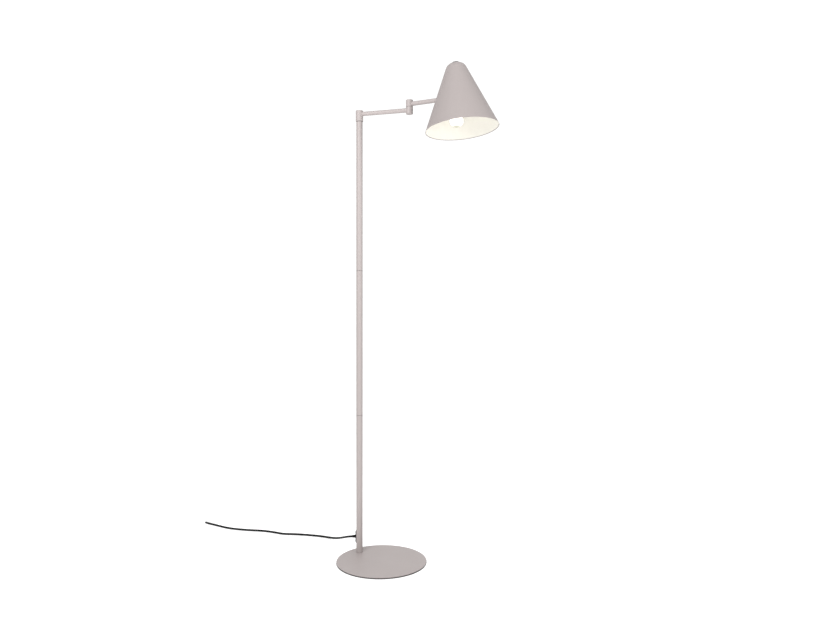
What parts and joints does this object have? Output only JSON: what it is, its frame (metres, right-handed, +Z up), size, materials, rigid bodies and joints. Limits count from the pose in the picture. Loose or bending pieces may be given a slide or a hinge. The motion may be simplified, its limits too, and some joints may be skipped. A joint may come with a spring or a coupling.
{
  "type": "floor-standing swing-arm reading lamp",
  "caption": "Floor-standing reading lamp: round flat base, thin pole, two-section horizontal swing arm with an elbow, tilting cone shade with a push switch, and a mains lead with its plug.",
  "frame": {"origin": "centre of the base's underside, on the floor", "axes": "+Z up along the pole, +X from the pole across the base's centre, the way the arms reach"},
  "size_m": [1.0748, 0.4026, 1.3643],
  "materials": {
    "stand_paint": "fine matt powder coat, greige",
    "shade_paint": "fine matt powder coat, greige outside and white inside",
    "zinc_steel": "zinc plated",
    "washer_nylon": "moulded nylon",
    "foam_pad": "dense foam",
    "cord_black": "satin soft PVC",
    "plug_black": "moulded PVC",
    "pin_nickel": "nickel plated",
    "cap_nickel": "nickel plated",
    "holder_white": "moulded thermoset",
    "bulb_opal": "opal, lit",
    "switch_black": "satin moulded plastic"
  },
  "bodies": {
    "stand": {"floor_pad": "foam_pad", "base_plate": "stand_paint", "pole_screw": "zinc_steel", "foot_plug": "zinc_steel", "lower_pole": "stand_paint", "middle_pole": "stand_paint", "upper_pole": "stand_paint", "lower_joiner": "zinc_steel", "upper_joiner": "zinc_steel", "cord_gland": "cord_black", "strain_relief": "cord_black", "mains_cord": "cord_black", "cord_coil": "cord_black", "coil_tie": "cord_black", "cord_tail": "cord_black", "plug_body": "plug_black", "plug_pin_left": "pin_nickel", "plug_pin_right": "pin_nickel", "swivel_spindle": "zinc_steel", "swivel_washer": "washer_nylon", "swivel_nut": "zinc_steel", "pole_flex": "cord_black"},
    "first_arm": {"pole_cap": "stand_paint", "cap_lid": "stand_paint", "first_arm_tube": "stand_paint", "first_arm_flex": "cord_black", "lower_hub": "stand_paint", "lower_hub_lid": "stand_paint", "elbow_spindle": "zinc_steel", "elbow_washer": "washer_nylon", "elbow_nut": "zinc_steel"},
    "second_arm": {"upper_hub": "stand_paint", "upper_hub_lid": "stand_paint", "second_arm_tube": "stand_paint", "second_arm_flex": "cord_black", "lamp_hub": "stand_paint", "stem_tube": "stand_paint", "tilt_eye": "stand_paint", "tilt_washer_left": "washer_nylon", "tilt_washer_right": "washer_nylon", "lampholder": "holder_white", "bulb_cap": "cap_nickel", "bulb_glass": "bulb_opal"},
    "shade": {"shade_shell": "shade_paint", "shade_yoke": "shade_paint", "tilt_pin": "zinc_steel", "tilt_nut": "zinc_steel", "switch_housing": "switch_black", "switch_ring_nut": "zinc_steel"},
    "switch_button": {"switch_button": "switch_black"}
  },
  "joints": [
    {"name": "arm_swing", "type": "hinge", "parent": "stand", "child": "first_arm", "pos_m": [-0.093, 0, 1.251], "axis": [0, 0, 1], "range_deg": [-165, 165]},
    {"name": "elbow_swing", "type": "hinge", "parent": "first_arm", "child": "second_arm", "pos_m": [0.03607, 0.07243, 1.2679], "axis": [0, 0, 1], "range_deg": [-100, 125]},
    {"name": "shade_tilt", "type": "hinge", "parent": "second_arm", "child": "shade", "pos_m": [0.16881, 0.11996, 1.3347], "axis": [0.3371, -0.9415, 0], "range_deg": [-18, 18]},
    {"name": "switch_press", "type": "slide", "parent": "shade", "child": "switch_button", "axis": [0.1, 0.0358, -0.9943], "range_m": [0, 0.0015], "stiffness_N_per_m": 800, "springref_m": -0.002}
  ]
}
